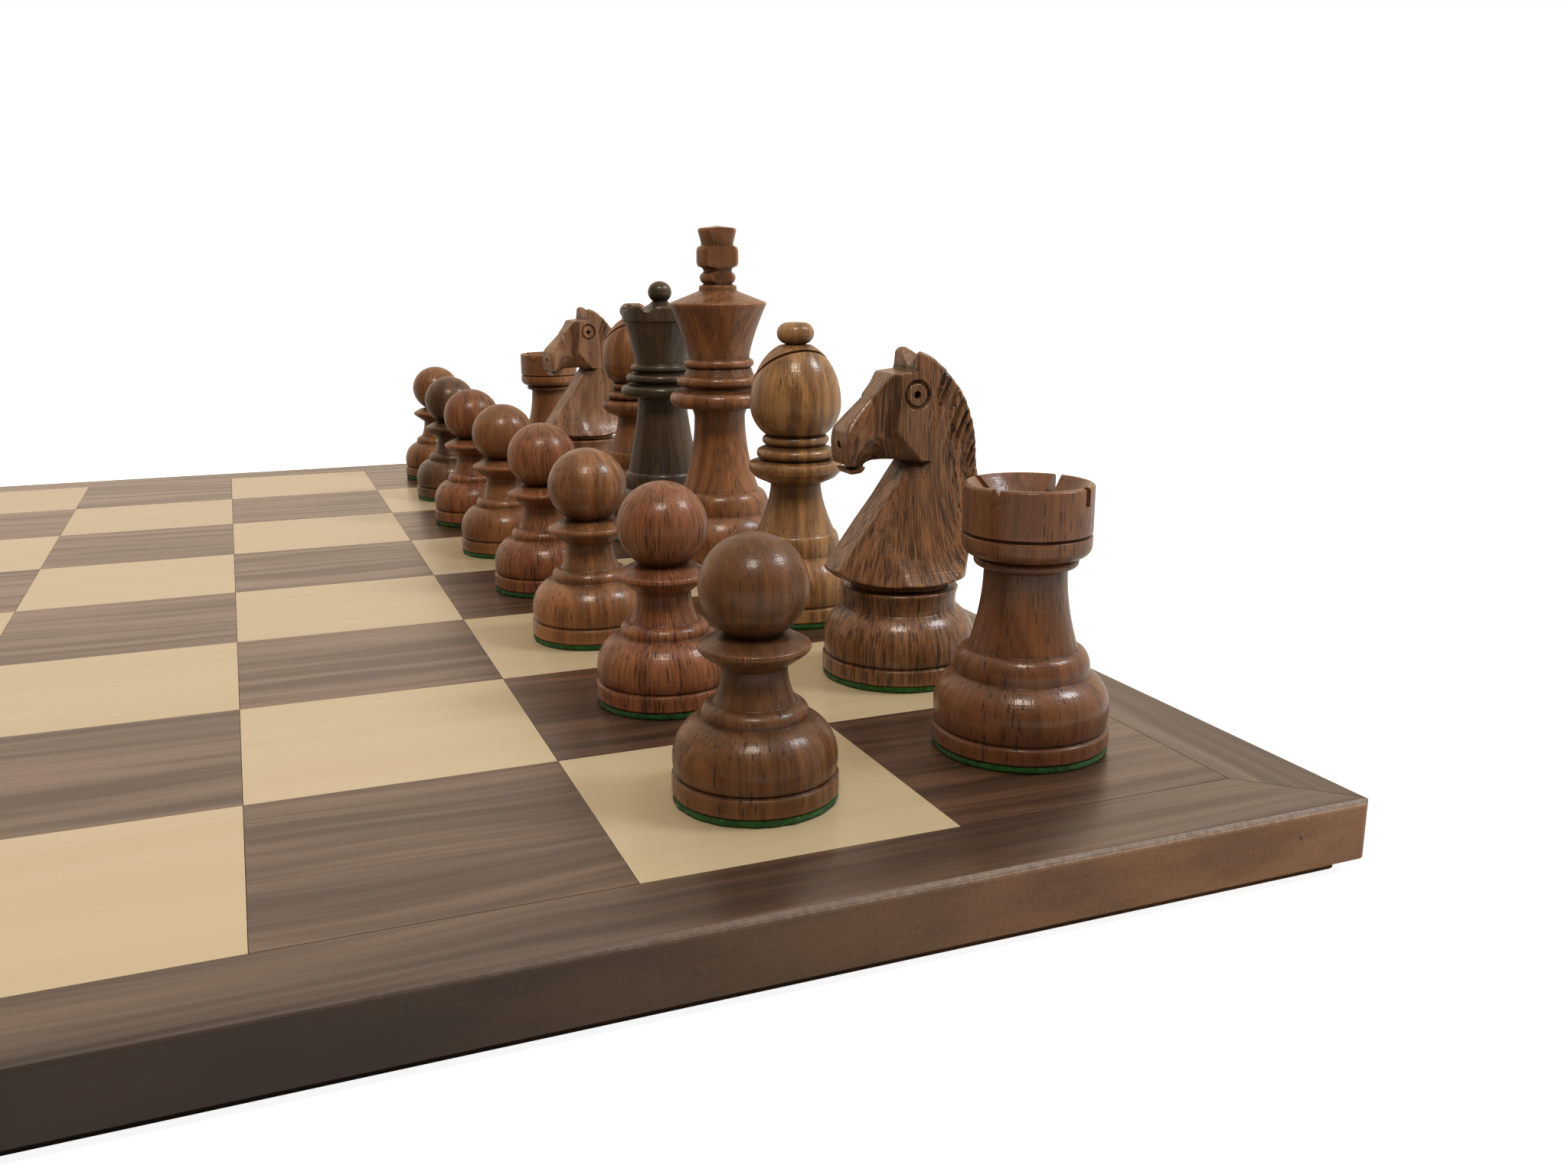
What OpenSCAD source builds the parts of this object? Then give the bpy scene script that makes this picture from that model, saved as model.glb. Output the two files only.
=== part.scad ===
// Wooden chess set: a veneered flat board and two armies of turned and carved pieces with felt feet.
// +X runs from the light army's back rank to the dark army's, +Y from file h to file a, +Z is up.
// The origin is the centre of the board's underside.

/* [Board] */
// Side of one square
square = 50; // [45:1:60]
// Width of the plain border round the squares
border_w = 15.5; // [12:0.5:30]
// Height of the board's side face, above the plinth
side_h = 10; // [9:0.5:20]
// Height of the recessed plinth under the board
plinth_h = 2.5; // [1.5:0.5:6]
// How far the plinth stands in from the side face
plinth_inset = 3; // [2:0.5:8]
// Thickness of the veneers
veneer_t = 0.6; // [0.5:0.1:1.2]
// Thickness of the solid lipping round the core
lipping_w = 3; // [2:0.5:6]
// Radius of the rounded top arris
arris_r = 1.2; // [0.8:0.1:1.5]
// Radius of the board's upright corners
corner_r = 2; // [1:0.5:4]

/* [Pieces] */
// Thickness of the felt under each piece
felt_t = 1.2; // [0.8:0.1:1.6]
// Foot radius of a pawn
pawn_r = 13.25; // [12.5:0.25:14]
// Foot radius of a rook
rook_r = 15.3; // [14.6:0.1:16]
// Foot radius of a knight
knight_r = 15.6; // [15:0.1:16.4]
// Foot radius of a bishop
bishop_r = 15.3; // [14.6:0.1:16]
// Foot radius of a queen
queen_r = 16.4; // [15.8:0.1:17.4]
// Foot radius of a king
king_r = 17; // [16.4:0.1:18]

/* [Details] */
// Width of the saw cuts in a rook's crown and a bishop's head
saw_w = 1.5; // [1:0.1:2]
// Width of a bishop's mitre cut
mitre_w = 0.8; // [0.6:0.1:1.2]
// Thickness of a king's finial across its two flats
finial_t = 7.4; // [6.8:0.2:8.4]
// Number of scallops in a queen's coronet
scallops = 8; // [6:1:10]
// Number of carved strokes in a knight's mane
mane_strokes = 9; // [5:1:10]
// Radius of the spigot that joins a knight's head to its foot
spigot_r = 4; // [3:0.5:5]

/* [Hidden] */
$fn = 72;
glue_line = 0.1;
spigot_gap = 0.05;
files = ["a", "b", "c", "d", "e", "f", "g", "h"];
back_rank = ["rook", "knight", "bishop", "queen", "king", "bishop", "knight", "rook"];
squares_half = 4 * square;
board_half = squares_half + border_w;
board_top = plinth_h + side_h;
core_top = board_top - veneer_t;
core_half = board_half - lipping_w;

dark_wood = [0.42, 0.27, 0.18];
light_wood = [0.84, 0.68, 0.44];
walnut = [0.36, 0.26, 0.21];
maple = [0.87, 0.79, 0.60];
side_brown = [0.40, 0.28, 0.19];
fibreboard = [0.62, 0.48, 0.33];
felt_green = [0.06, 0.28, 0.14];

// Each piece is [army, kind, file index, rank], and each army has a back rank and a row of pawns.
function army(name, back, front) = concat(
    [for (f = [0 : 7]) [name, back_rank[f], f, back]],
    [for (f = [0 : 7]) [name, "pawn", f, front]]);
function piece_name(p) = str(p[0], "_", p[1], "_", files[p[2]], p[3]);
function head_name(p) = str(piece_name(p), "_head");
function felt_name(p) = str(piece_name(p), "_felt");
dark_army = army("dark", 8, 7);
light_army = army("light", 1, 2);
pieces = concat(dark_army, light_army);
knights = [for (p = pieces) if (p[1] == "knight") p];

// Hand placing: how far a piece stands from its square's centre in X and Y, and its turn in degrees
hand_placed = [
    ["dark_rook_a8", [-3, 1, 45]],
    ["dark_knight_b8", [-1.5, 0.5, 10]],
    ["dark_bishop_c8", [3.5, -1.5, 0]],
    ["dark_queen_d8", [-1.5, 1, 10]],
    ["dark_king_e8", [-1, 0.5, 90]],
    ["dark_knight_g8", [1.7, -1, 0]],
    ["dark_rook_h8", [2, 2.5, 29]],
    ["dark_pawn_a7", [2, -0.5, 0]],
    ["dark_pawn_c7", [-0.7, 0, 0]],
    ["dark_pawn_e7", [0.6, 0, 0]],
    ["dark_pawn_g7", [2, 0, 0]],
    ["dark_pawn_h7", [0.7, -2, 0]]
];
function usual_turn(kind) = kind == "king" ? 90 : kind == "rook" ? 45 : 0;
function placing(p) =
    let (own = [for (h = hand_placed) if (h[0] == piece_name(p)) h[1]])
    len(own) > 0 ? own[0] : [0, 0, usual_turn(p[1])];

// ---- Points for turned profiles, each [radius, height above the board] ----

// Points along an elliptical arc about c, from angle a0 to a1
function arc(c, rx, rz, a0, a1, n = 6) =
    [for (i = [0 : n]) let (a = a0 + (a1 - a0) * i / n) [c[0] + rx * cos(a), c[1] + rz * sin(a)]];

// A stem whose radius runs from r0 at z0 to r1 at z1, along a power curve
function stem(r0, z0, r1, z1, power, n = 7) =
    [for (i = [0 : n]) let (u = i / n) [r1 + (r0 - r1) * pow(1 - u, power), z0 + (z1 - z0) * u]];

// A flare that opens from r0 at z0 to r1 at z1
function flare(r0, z0, r1, z1, power, n = 6) =
    [for (i = [0 : n]) let (u = i / n) [r0 + (r1 - r0) * pow(u, power), z0 + (z1 - z0) * u]];

// A rounded ring of outer radius r at height z
function ring(r, z, half) = arc([r - half, z], half, half, -90, 90);

// The foot: an upright band, a narrow groove and a full belly that ends at lip_r, lip_z
function foot(r, band_z, belly_z, lip_r, lip_z) =
    let (c = 0.55 * r,
         a = 0.99 * r - c,
         end = acos((lip_r - c) / a),
         low = 20,
         groove_d = 0.9,
         chamfer = 0.4)
    concat([[0, felt_t], [r - chamfer, felt_t], [r, felt_t + chamfer], [r, band_z - chamfer],
            [r - groove_d, band_z]],
           arc([c, belly_z], a, (belly_z - band_z) / sin(low), -low, 0, 4),
           arc([c, belly_z], a, (lip_z - belly_z) / sin(end), 0, end));

// The lip above the belly, rounded over to meet the stem
function lip(r, z0, stem_r, z1) =
    let (rise = 0.25 * (z1 - z0))
    concat([[r, z0 + 0.1]], arc([stem_r, z0 + rise], r - stem_r, z1 - z0 - rise, 0, 90, 5));

pawn_profile = concat(
    foot(pawn_r, 4.8, 7, 8.9, 13.6),
    lip(8.5, 13.6, 6.6, 16.1),
    stem(6.5, 16.2, 5.2, 21.8, 2),
    [[8.5, 24.2], [8.95, 24.8], [8.8, 25.4], [6.4, 26.7], [4.7, 27.1]],
    arc([0, 34.4], 8.6, 8.35, -60, 90, 12));

rook_crown_r = 11;
rook_top = 46.5;
rook_profile = concat(
    foot(rook_r, 4.5, 8, 11.8, 13.6),
    lip(11.6, 13.6, 9.5, 18.1),
    stem(9.4, 18.2, 7.1, 32, 2),
    ring(8.9, 33.2, 0.9),
    arc([9, 36.2], 2, 2, -90, 0, 4),
    [[rook_crown_r, 37.8], [rook_crown_r - 0.6, 38.1], [rook_crown_r, 38.4],
     [rook_crown_r, rook_top - 0.3], [rook_crown_r - 0.4, rook_top], [rook_crown_r - 1, rook_top],
     [6.6, rook_top - 3.4], [0, rook_top - 3.8]]);

knight_neck_z = 18.8;
knight_profile = concat(
    foot(knight_r, 4.8, 7.2, 11.7, 14.4),
    [[11.4, 15.4], [11.45, 16.8], [11.7, 17.9], [11.9, 18.5], [11.6, knight_neck_z],
     [0, knight_neck_z]]);

bishop_profile = concat(
    foot(bishop_r, 4.8, 8.4, 10.8, 15.4),
    lip(10.4, 15.4, 9.2, 20.5),
    stem(9.1, 20.6, 5.9, 31.8, 1.6),
    [[9.4, 33.4], [10.8, 34.9], [11, 36], [10.7, 37], [9, 37.5], [7.4, 37.6]],
    ring(9.15, 39, 1.35),
    ring(7.8, 42.1, 1.1),
    [[6.6, 43.3]],
    arc([0, 50.2], 10.6, 9.2, -46, 0, 6),
    arc([0, 50.2], 10.6, 14.45, 0, 70, 10),
    arc([1.7, 66.4], 2.6, 2.5, -80, 90, 8),
    [[0, 68.9]]);

queen_profile = concat(
    foot(queen_r, 5, 8.8, 12.4, 15.8),
    lip(11.9, 15.8, 10.8, 20.7),
    stem(10.7, 20.8, 7.2, 42.8, 1.4),
    ring(12.2, 44.9, 1.7),
    [[9.6, 46.9]],
    ring(10.6, 48.6, 1.2),
    [[8.6, 50.1]],
    ring(9.2, 51.6, 1),
    flare(8, 53, 10.7, 65, 1.5),
    [[11.3, 65.5], [11.6, 69.2], [11.2, 69.8], [9.8, 69.6], [8.9, 67.6], [6, 68.6], [3.2, 70.1],
     [2.5, 70.7]],
    arc([0, 73.5], 3.5, 3.2, -52, 90, 8));

finial_z = 76.4;
king_profile = concat(
    foot(king_r, 5.2, 9.2, 13.2, 16.8),
    lip(12.9, 16.8, 10.4, 22.7),
    stem(10.3, 22.8, 6.75, 42.5, 2),
    [[7.3, 44.3]],
    ring(13.1, 47, 2.1),
    [[10.2, 49.6]],
    ring(11.3, 51.7, 1.35),
    [[9.2, 53.3], [8.6, 55]],
    ring(9.3, 56.3, 1.1),
    flare(8.1, 57.7, 12.6, 71.3, 1.35),
    [[12.7, 71.7], [12.4, 72], [5, 74.9], [4.9, 76.2], [4.1, finial_z]],
    arc([2.7, 78.2], 2, 1.7, -60, 60, 5),
    [[3.7, 80.2], [4, 80.7], [5.2, 81.2], [5.45, 82.2], [5.45, 85], [5.2, 85.9], [4.2, 86.4],
     [4.2, 87], [5, 90.2], [4.7, 90.7], [0, 91.3]]);

// The knight's head as a turned blank, before it is carved
head_blank_profile = [
    [0, knight_neck_z], [10.9, knight_neck_z], [11.2, 20], [12.6, 20.7], [14.2, 21.4],
    [15.2, 22.2], [15.8, 23.2], [15.9, 25], [15.6, 34], [15.2, 41], [14.9, 43], [14.7, 46],
    [14.5, 48.6], [14, 51.4], [13.2, 53.9], [12.5, 55.8], [11.7, 57.4], [10.6, 59], [9.7, 60.1],
    [8, 62.3], [6.1, 64.4], [4.6, 66.1], [0, 66.1]];

// The horse from the side, facing -X: chest, throat, jaw, muzzle, brow, poll and ear
head_outline = [
    [-17, 18], [-17, 21.8], [-15.2, 23.2], [0.6, 44.3], [-2.4, 44.6], [-7.5, 44.5], [-8.9, 44.2],
    [-9.5, 43.7], [-9.6, 42.8], [-10.2, 42.2], [-12.2, 42], [-13, 43.2], [-13.5, 45], [-13.8, 48],
    [-13.7, 50.6], [-12.7, 52], [-10.8, 54], [-8.7, 56.1], [-6.9, 58], [-5.1, 60], [-3.9, 61.4],
    [0.4, 61.8], [0.7, 65.2], [1.4, 66.1], [4, 66.1], [15.9, 58], [15.9, 41], [14.6, 31],
    [14, 24], [14, 18]];

// Half the head's thickness by height, seen from the front
head_half_widths = [
    [13.6, 18], [11.6, 21.5], [9.4, 25.5], [8.2, 29.5], [7.3, 34.5], [6.5, 42], [6.1, 50],
    [5.8, 57], [5.2, 66.2]];

// ---- Board ----

module rounded_square(half, r, h) {
    reach = half - r;
    linear_extrude(h) {
        square([2 * half, 2 * reach], center = true);
        square([2 * reach, 2 * half], center = true);
        for (x = [-reach, reach], y = [-reach, reach])
            translate([x, y])
                circle(r);
    }
}

// One side's strip of the board's edge, mitred at both ends
module edge_strip() {
    section = concat([[squares_half, plinth_h], [board_half, plinth_h]],
                     arc([board_half - arris_r, board_top - arris_r], arris_r, arris_r, 0, 90, 5),
                     [[squares_half, board_top]]);
    intersection() {
        rotate([90, 0, 0])
            linear_extrude(2 * board_half, center = true)
                polygon(section);
        linear_extrude(board_top)
            polygon([[glue_line, 0], [board_half + 1, board_half + 1 - glue_line],
                     [board_half + 1, -board_half - 1 + glue_line]]);
    }
}

module four_sides() {
    intersection() {
        for (a = [0 : 90 : 270])
            rotate([0, 0, a])
                edge_strip();
        rounded_square(board_half, corner_r, board_top);
    }
}

module square_frame(inner, outer, z0, z1) {
    difference() {
        translate([-outer, -outer, z0])
            cube([2 * outer, 2 * outer, z1 - z0]);
        translate([-inner, -inner, z0 - 1])
            cube([2 * inner, 2 * inner, z1 - z0 + 2]);
    }
}

module plinth_panel() {
    color(side_brown)
        rounded_square(board_half - plinth_inset, corner_r, plinth_h);
}

module backing_veneer() {
    color(walnut)
        translate([-core_half, -core_half, plinth_h])
            cube([2 * core_half, 2 * core_half, veneer_t]);
}

module core_panel() {
    color(fibreboard)
        translate([-core_half, -core_half, plinth_h + veneer_t])
            cube([2 * core_half, 2 * core_half, core_top - plinth_h - veneer_t]);
}

module edge_lipping() {
    color(side_brown)
        intersection() {
            four_sides();
            square_frame(core_half, board_half, plinth_h, core_top);
        }
}

module border_veneer() {
    color(walnut)
        intersection() {
            four_sides();
            square_frame(squares_half + glue_line, board_half, core_top, board_top);
        }
}

// Every second square, as separate leaves of veneer: odd = 1 for the light ones, 0 for the dark
module veneer_squares(odd) {
    side = square - glue_line;
    for (f = [1 : 8], r = [1 : 8])
        if ((f + r) % 2 == odd)
            translate([(r - 4.5) * square - side / 2, (4.5 - f) * square - side / 2, core_top])
                cube([side, side, veneer_t]);
}

module dark_squares() {
    color(walnut)
        veneer_squares(0);
}

module light_squares() {
    color(maple)
        veneer_squares(1);
}

// ---- Pieces, each standing at the origin on the board's top ----

module turned(profile) {
    rotate_extrude()
        polygon(concat(profile, [[0, profile[len(profile) - 1][1]]]));
}

module felt(r) {
    felt_inset = 0.35;
    cylinder(r = r - felt_inset, h = felt_t);
}

module pawn() {
    turned(pawn_profile);
}

// The crown's rim is crossed by two saw cuts
module rook() {
    cut_depth = 3.1;
    difference() {
        turned(rook_profile);
        for (a = [0, 90])
            rotate([0, 0, a])
                translate([-20, -saw_w / 2, rook_top - cut_depth])
                    cube([40, saw_w, cut_depth + 1]);
    }
}

// The head is sawn from the -Y side on a slope, most of the way through
module bishop() {
    cut_rise = 39;
    cut_z = 58.5;
    cut_past_axis = 5;
    difference() {
        turned(bishop_profile);
        translate([0, 0, cut_z])
            rotate([-cut_rise, 0, 0])
                translate([-15, -25, -mitre_w / 2])
                    cube([30, 25 + cut_past_axis, mitre_w]);
    }
}

module queen() {
    scallop_r = 3;
    scallop_z = 71;
    crown_r = 11;
    difference() {
        turned(queen_profile);
        for (i = [0 : scallops - 1])
            rotate([0, 0, i * 360 / scallops])
                translate([crown_r - 4, 0, scallop_z])
                    rotate([0, 90, 0])
                        cylinder(r = scallop_r, h = 8);
    }
}

// The finial is pared flat on two sides
module king() {
    reach = 10;
    difference() {
        turned(king_profile);
        for (side = [-1, 1])
            translate([side > 0 ? finial_t / 2 : -finial_t / 2 - reach, -reach, finial_z])
                cube([reach, 2 * reach, 20]);
    }
}

module knight_foot() {
    socket_depth = 8;
    difference() {
        turned(knight_profile);
        translate([0, 0, knight_neck_z - socket_depth])
            cylinder(r = spigot_r, h = socket_depth + 1);
    }
}

// Everything beyond a plane that lies d from the origin and faces the angles turn and rise
module beyond(turn, rise, d) {
    rotate([0, 0, turn])
        rotate([0, -rise, 0])
            translate([d, -40, -60])
                cube([40, 80, 140]);
}

// The cuts that take the corners off the chest, below the jaw
module chest_cut() {
    intersection() {
        union() {
            beyond(236, 20.4, 19.05);
            beyond(226.6, 27.6, 22.65);
        }
        rotate([90, 0, 0])
            linear_extrude(60, center = true)
                polygon([[-30, 10], [-30, 36], [-7, 39], [0.6, 44.3], [12, 44.3], [12, 10]]);
    }
}

// The nose is thinner than the cheek, and steps in just ahead of the eye
module nose_cut() {
    translate([0, 0, 39])
        linear_extrude(30)
            polygon([[-3.3, -12], [-3.3, -5.9], [-5.6, -3.6], [-14, -4], [-20, -4], [-20, -12]]);
}

// The hollow under the cheek: the jaw's lower edge is pared away on a slant
module jaw_cut() {
    paring = 33;
    intersection() {
        translate([-30, -5.9, 50])
            rotate([paring, 0, 0])
                translate([0, -40, -40])
                    cube([60, 40, 80]);
        rotate([90, 0, 0])
            linear_extrude(30)
                polygon([[-8.6, 44], [-8, 50.5], [-4.2, 50.5], [0.9, 44.6], [0.9, 44]]);
    }
}

// The engraved eye: a ring with a drilled centre
module eye_cut() {
    depth = 0.5;
    face = 5.85;
    translate([0.35, -face, 57.3])
        rotate([90, 0, 0]) {
            difference() {
                translate([0, 0, -depth])
                    cylinder(r = 2.75, h = 5);
                translate([0, 0, -1])
                    cylinder(r = 2.15, h = 6);
            }
            translate([0, 0, -1.2])
                cylinder(r = 0.55, h = 5);
        }
}

module nostril() {
    translate([-14.6, 0, 47.7])
        rotate([0, 90, 0])
            cylinder(r = 0.6, h = 2);
}

module mouth() {
    translate([-16, -8, 43.2])
        cube([5, 16, 0.6]);
}

// The V between the ears, a little to the near side
module ear_cut() {
    rotate([90, 0, 90])
        translate([0, 0, -3])
            linear_extrude(14)
                polygon([[-1.5, 61.9], [0.2, 61.9], [2.4, 66.3], [2.4, 67], [-4.7, 67], [-4.4, 66.3]]);
}

// Steep strokes beside the back edge of the neck, each running down and forward from that edge
module mane_cuts() {
    stroke_w = 0.8;
    stroke_len = 7;
    floor_y = 5.4;
    for (i = [0 : mane_strokes - 1])
        translate([13.4 - 0.075 * pow(i, 2), -12, 41 + 2.4 * i])
            rotate([0, 14, 0])
                translate([-stroke_w / 2, 0, -stroke_len])
                    cube([stroke_w, 12 - floor_y, stroke_len]);
}

module knight_head() {
    spigot_len = 7.5;
    difference() {
        intersection() {
            turned(head_blank_profile);
            translate([-1.8, 0, 18])
                cylinder(r1 = 14.6, r2 = 19.9, h = 50);
            rotate([90, 0, 0])
                linear_extrude(40, center = true)
                    polygon(head_outline);
            rotate([90, 0, 90])
                linear_extrude(40, center = true)
                    polygon(concat(head_half_widths,
                                   [for (i = [len(head_half_widths) - 1 : -1 : 0])
                                       [-head_half_widths[i][0], head_half_widths[i][1]]]));
        }
        for (side = [0, 1])
            mirror([0, side, 0]) {
                chest_cut();
                nose_cut();
                jaw_cut();
                eye_cut();
                mane_cuts();
            }
        nostril();
        mouth();
        ear_cut();
    }
    translate([0, 0, knight_neck_z - spigot_len])
        cylinder(r = spigot_r - spigot_gap, h = spigot_len + 1);
}

// ---- Placing ----

function foot_r(kind) =
    kind == "pawn" ? pawn_r
    : kind == "rook" ? rook_r
    : kind == "knight" ? knight_r
    : kind == "bishop" ? bishop_r
    : kind == "queen" ? queen_r
    : king_r;

module body_of(kind) {
    if (kind == "pawn") pawn();
    if (kind == "rook") rook();
    if (kind == "knight") knight_foot();
    if (kind == "bishop") bishop();
    if (kind == "queen") queen();
    if (kind == "king") king();
}

// Stands its children on a piece's own square. Every light piece faces the dark army.
module on_square(p) {
    set = placing(p);
    facing = p[0] == "light" ? 180 : 0;
    translate([(p[3] - 4.5) * square + set[0], (3.5 - p[2]) * square + set[1], board_top])
        rotate([0, 0, set[2] + facing])
            children();
}

// A piece's wood. The light army's felt is part of the same solid.
module piece_body(p) {
    color(p[0] == "dark" ? dark_wood : light_wood)
        on_square(p) {
            body_of(p[1]);
            if (p[0] == "light") felt(foot_r(p[1]));
        }
}

module piece_head(p) {
    color(p[0] == "dark" ? dark_wood : light_wood)
        on_square(p)
            knight_head();
}

module piece_felt(p) {
    color(felt_green)
        on_square(p)
            felt(foot_r(p[1]));
}

plinth_panel();
backing_veneer();
core_panel();
edge_lipping();
border_veneer();
dark_squares();
light_squares();
for (p = pieces)
    piece_body(p);
for (p = knights)
    piece_head(p);
for (p = dark_army)
    piece_felt(p);
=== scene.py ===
"""Looks of the wooden chess set: turned and carved pieces with felt feet on a veneered board.

Lengths in the shape functions are millimetres, like the design's own. Blender objects are in metres.
"""

import math

import bpy
import numpy as np
from mathutils import Euler, Matrix, Vector


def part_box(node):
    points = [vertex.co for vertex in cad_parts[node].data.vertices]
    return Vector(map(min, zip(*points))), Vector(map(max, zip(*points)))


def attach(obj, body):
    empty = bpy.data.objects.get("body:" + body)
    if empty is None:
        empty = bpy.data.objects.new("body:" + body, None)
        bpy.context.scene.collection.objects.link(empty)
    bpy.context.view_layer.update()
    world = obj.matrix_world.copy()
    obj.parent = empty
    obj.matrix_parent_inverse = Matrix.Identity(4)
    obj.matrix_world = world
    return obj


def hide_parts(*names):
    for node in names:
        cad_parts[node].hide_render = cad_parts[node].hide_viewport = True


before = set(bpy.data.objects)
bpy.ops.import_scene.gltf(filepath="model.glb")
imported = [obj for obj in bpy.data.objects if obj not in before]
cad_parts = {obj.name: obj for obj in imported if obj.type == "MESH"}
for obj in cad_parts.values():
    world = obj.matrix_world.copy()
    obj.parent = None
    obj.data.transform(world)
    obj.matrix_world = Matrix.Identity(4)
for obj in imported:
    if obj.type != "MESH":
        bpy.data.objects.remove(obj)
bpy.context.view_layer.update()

MM = 0.001
TINY = 1e-6
top_low, top_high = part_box("light_squares")
board_top = top_high.z
square = (top_high.x - top_low.x) / 8

# ---- Sizes of the pieces ----

felt_t = 1.2
pawn_r = 13.25
rook_r = 15.3
knight_r = 15.6
bishop_r = 15.3
queen_r = 16.4
king_r = 17
saw_w = 1.5
mitre_w = 0.8
finial_t = 7.4
scallops = 8
FOOT_RADIUS = {"pawn": pawn_r, "rook": rook_r, "knight": knight_r, "bishop": bishop_r,
               "queen": queen_r, "king": king_r}

# Turn of each piece about its own axis, in degrees
USUAL_TURN = {"king": 90, "rook": 45}
OWN_TURN = {"dark_rook_h8": 29, "dark_queen_d8": 10, "dark_knight_b8": 10}

# ---- Profiles of the turned pieces, each point (radius, height above the board) ----


def arc(centre, rx, rz, a0, a1, n=14):
    """Points along an elliptical arc, from angle a0 to a1 in degrees."""
    angles = np.radians(np.linspace(a0, a1, n + 1))
    return [(centre[0] + rx * math.cos(a), centre[1] + rz * math.sin(a)) for a in angles]


def stem(r0, z0, r1, z1, power, n=14):
    """A stem whose radius runs from r0 at z0 to r1 at z1, along a power curve."""
    return [(r1 + (r0 - r1) * (1 - i / n) ** power, z0 + (z1 - z0) * i / n) for i in range(n + 1)]


def flare(r0, z0, r1, z1, power, n=12):
    """A flare that opens from r0 at z0 to r1 at z1."""
    return [(r0 + (r1 - r0) * (i / n) ** power, z0 + (z1 - z0) * i / n) for i in range(n + 1)]


def ring(r, z, half):
    """A rounded ring of outer radius r at height z."""
    return arc((r - half, z), half, half, -90, 90)


def foot(r, band_z, belly_z, lip_r, lip_z):
    """An upright band, a narrow groove and a full belly that ends at lip_r, lip_z."""
    centre_r = 0.55 * r
    reach = 0.99 * r - centre_r
    low = 20
    end = math.degrees(math.acos((lip_r - centre_r) / reach))
    groove_d = 0.9
    chamfer = 0.4
    return ([(0, felt_t), (r - chamfer, felt_t), (r, felt_t + chamfer), (r, band_z - chamfer),
             (r - groove_d, band_z)]
            + arc((centre_r, belly_z), reach, (belly_z - band_z) / math.sin(math.radians(low)),
                  -low, 0, 6)
            + arc((centre_r, belly_z), reach, (lip_z - belly_z) / math.sin(math.radians(end)),
                  0, end, 20))


def lip(r, z0, stem_r, z1):
    """The lip above the belly, rounded over to meet the stem."""
    rise = 0.25 * (z1 - z0)
    return [(r, z0 + 0.1)] + arc((stem_r, z0 + rise), r - stem_r, z1 - z0 - rise, 0, 90)


pawn_profile = (
    foot(pawn_r, 4.8, 7, 8.9, 13.6)
    + lip(8.5, 13.6, 6.6, 16.1)
    + stem(6.5, 16.2, 5.2, 21.8, 2)
    + [(8.5, 24.2), (8.95, 24.8), (8.8, 25.4), (6.4, 26.7), (4.7, 27.1)]
    + arc((0, 34.4), 8.6, 8.35, -60, 90, 48))

rook_crown_r = 11
rook_top = 46.5
rook_profile = (
    foot(rook_r, 4.5, 8, 11.8, 13.6)
    + lip(11.6, 13.6, 9.5, 18.1)
    + stem(9.4, 18.2, 7.1, 32, 2)
    + ring(8.9, 33.2, 0.9)
    + arc((9, 36.2), 2, 2, -90, 0)
    + [(rook_crown_r, 37.8), (rook_crown_r - 0.6, 38.1), (rook_crown_r, 38.4),
       (rook_crown_r, rook_top - 0.3), (rook_crown_r - 0.4, rook_top), (rook_crown_r - 1, rook_top),
       (6.6, rook_top - 3.4), (0, rook_top - 3.8)])

neck_z = 18.8
knight_profile = (
    foot(knight_r, 4.8, 7.2, 11.7, 14.4)
    + [(11.4, 15.4), (11.45, 16.8), (11.7, 17.9), (11.9, 18.5), (11.6, neck_z), (0, neck_z)])

bishop_profile = (
    foot(bishop_r, 4.8, 8.4, 10.8, 15.4)
    + lip(10.4, 15.4, 9.2, 20.5)
    + stem(9.1, 20.6, 5.9, 31.8, 1.6)
    + [(9.4, 33.4), (10.8, 34.9), (11, 36), (10.7, 37), (9, 37.5), (7.4, 37.6)]
    + ring(9.15, 39, 1.35)
    + ring(7.8, 42.1, 1.1)
    + [(6.6, 43.3)]
    + arc((0, 50.2), 10.6, 9.2, -46, 0, 16)
    + arc((0, 50.2), 10.6, 14.45, 0, 70, 28)
    + arc((1.7, 66.4), 2.6, 2.5, -80, 90, 20)
    + [(0, 68.9)])

queen_profile = (
    foot(queen_r, 5, 8.8, 12.4, 15.8)
    + lip(11.9, 15.8, 10.8, 20.7)
    + stem(10.7, 20.8, 7.2, 42.8, 1.4)
    + ring(12.2, 44.9, 1.7)
    + [(9.6, 46.9)]
    + ring(10.6, 48.6, 1.2)
    + [(8.6, 50.1)]
    + ring(9.2, 51.6, 1)
    + flare(8, 53, 10.7, 65, 1.5)
    + [(11.3, 65.5), (11.6, 69.2), (11.2, 69.8), (9.8, 69.6), (8.9, 67.6), (6, 68.6), (3.2, 70.1),
       (2.5, 70.7)]
    + arc((0, 73.5), 3.5, 3.2, -52, 90, 20))

finial_z = 76.4
king_profile = (
    foot(king_r, 5.2, 9.2, 13.2, 16.8)
    + lip(12.9, 16.8, 10.4, 22.7)
    + stem(10.3, 22.8, 6.75, 42.5, 2)
    + [(7.3, 44.3)]
    + ring(13.1, 47, 2.1)
    + [(10.2, 49.6)]
    + ring(11.3, 51.7, 1.35)
    + [(9.2, 53.3), (8.6, 55)]
    + ring(9.3, 56.3, 1.1)
    + flare(8.1, 57.7, 12.6, 71.3, 1.35)
    + [(12.7, 71.7), (12.4, 72), (5, 74.9), (4.9, 76.2), (4.1, finial_z)]
    + arc((2.7, 78.2), 2, 1.7, -60, 60)
    + [(3.7, 80.2), (4, 80.7), (5.2, 81.2), (5.45, 82.2), (5.45, 85), (5.2, 85.9), (4.2, 86.4),
       (4.2, 87), (5, 90.2), (4.7, 90.7), (0, 91.3)])

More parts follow.
